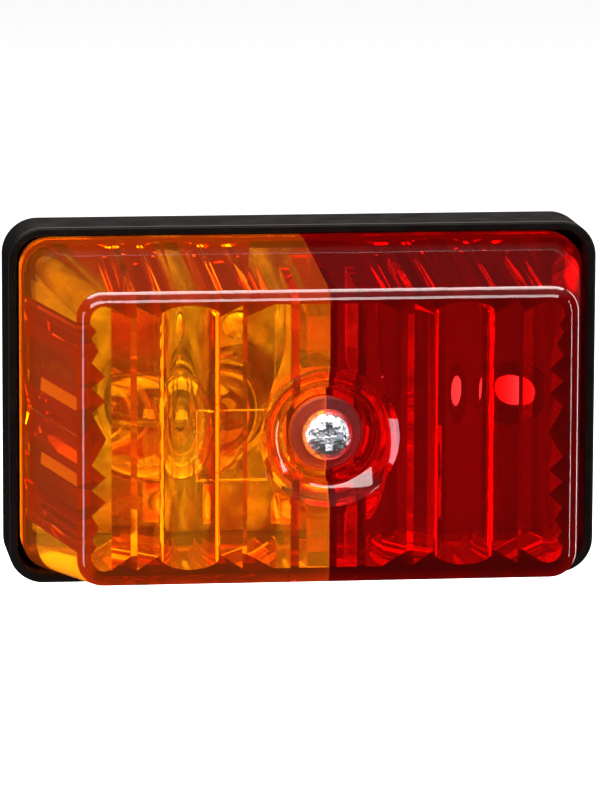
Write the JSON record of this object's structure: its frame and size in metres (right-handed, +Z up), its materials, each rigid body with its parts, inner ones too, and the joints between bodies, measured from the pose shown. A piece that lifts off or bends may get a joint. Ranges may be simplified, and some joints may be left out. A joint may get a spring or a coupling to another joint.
{
  "type": "trailer lamp",
  "caption": "Rectangular trailer lamp: amber and red ridged lens held by one central screw on a base in a black rubber boot, with one bayonet globe inside.",
  "frame": {"origin": "centre of the flat rear face that goes against the trailer", "axes": "+Y out of the rear face, +X along the long side to the red end, +Z up; the lens faces -Y"},
  "size_m": [0.1, 0.05, 0.0606],
  "materials": {
    "boot_rubber": "satin moulded rubber",
    "black_plastic": "moulded black plastic",
    "gasket_foam": "matte closed-cell foam rubber",
    "amber_acrylic": "glossy clear amber acrylic",
    "red_acrylic": "glossy clear red acrylic",
    "zinc_screw": "bright zinc-plated steel",
    "zinc_plate": "zinc-plated steel",
    "brass": "plain turned brass",
    "phenolic": "brown laminated phenolic board",
    "spring_steel": "drawn spring wire",
    "clear_glass": "clear blown glass",
    "tungsten": "grey tungsten and nickel wire on a glass bead",
    "vitrite": "black glass insulator",
    "solder": "dull soft solder"
  },
  "bodies": {
    "base": {"rubber_boot": "boot_rubber", "base_plate": "black_plastic", "lens_seal": "gasket_foam", "threaded_insert": "brass", "cable_grommet": "boot_rubber", "carrier_plate": "zinc_plate", "live_strip": "brass", "live_terminal_block": "brass", "earth_terminal_block": "brass", "holder_shell": "zinc_plate", "insulator_disc": "phenolic", "upper_rivet": "zinc_plate", "lower_rivet": "zinc_plate", "contact_spring": "spring_steel"},
    "lens": {"amber_lens": "amber_acrylic", "red_lens": "red_acrylic"},
    "seal": {"screw_seal_ring": "boot_rubber"},
    "screw": {"lens_screw": "zinc_screw"},
    "plunger": {"contact_plunger": "brass"},
    "globe": {"globe_cap": "brass", "globe_glass": "clear_glass", "globe_filament": "tungsten", "globe_insulator": "vitrite", "globe_contact": "solder"},
    "live_screw": {"live_terminal_screw": "zinc_plate"},
    "earth_screw": {"earth_terminal_screw": "zinc_plate"}
  },
  "joints": [
    {"name": "lens_pull", "type": "slide", "parent": "base", "child": "lens", "axis": [0, -1, 0], "range_m": [0, 0.055]},
    {"name": "screw_withdraw", "type": "slide", "parent": "lens", "child": "seal", "axis": [0, -1, 0], "range_m": [0, 0.0105]},
    {"name": "screw_turn", "type": "hinge", "parent": "seal", "child": "screw", "pos_m": [0, -0.0466, 0], "axis": [0, -1, 0], "range_deg": [0, 5400]},
    {"name": "globe_push", "type": "slide", "parent": "base", "child": "plunger", "axis": [0, 1, 0], "range_m": [0, 0.002], "stiffness_N_per_m": 1500, "springref_m": -0.002, "deforming": ["contact_spring"]},
    {"name": "globe_turn", "type": "hinge", "parent": "plunger", "child": "globe", "pos_m": [-0.024, -0.0161, 0], "axis": [0, -1, 0], "range_deg": [0, 22]},
    {"name": "live_screw_turn", "type": "hinge", "parent": "base", "child": "live_screw", "pos_m": [0.0106, -0.014, -0.017], "axis": [0, -1, 0], "range_deg": [0, 720]},
    {"name": "earth_screw_turn", "type": "hinge", "parent": "base", "child": "earth_screw", "pos_m": [-0.0106, -0.014, -0.017], "axis": [0, -1, 0], "range_deg": [0, 720]}
  ],
  "couplings": [
    {"joint": "screw_turn", "follows": "screw_withdraw", "rad_per_m": 8975.9}
  ]
}
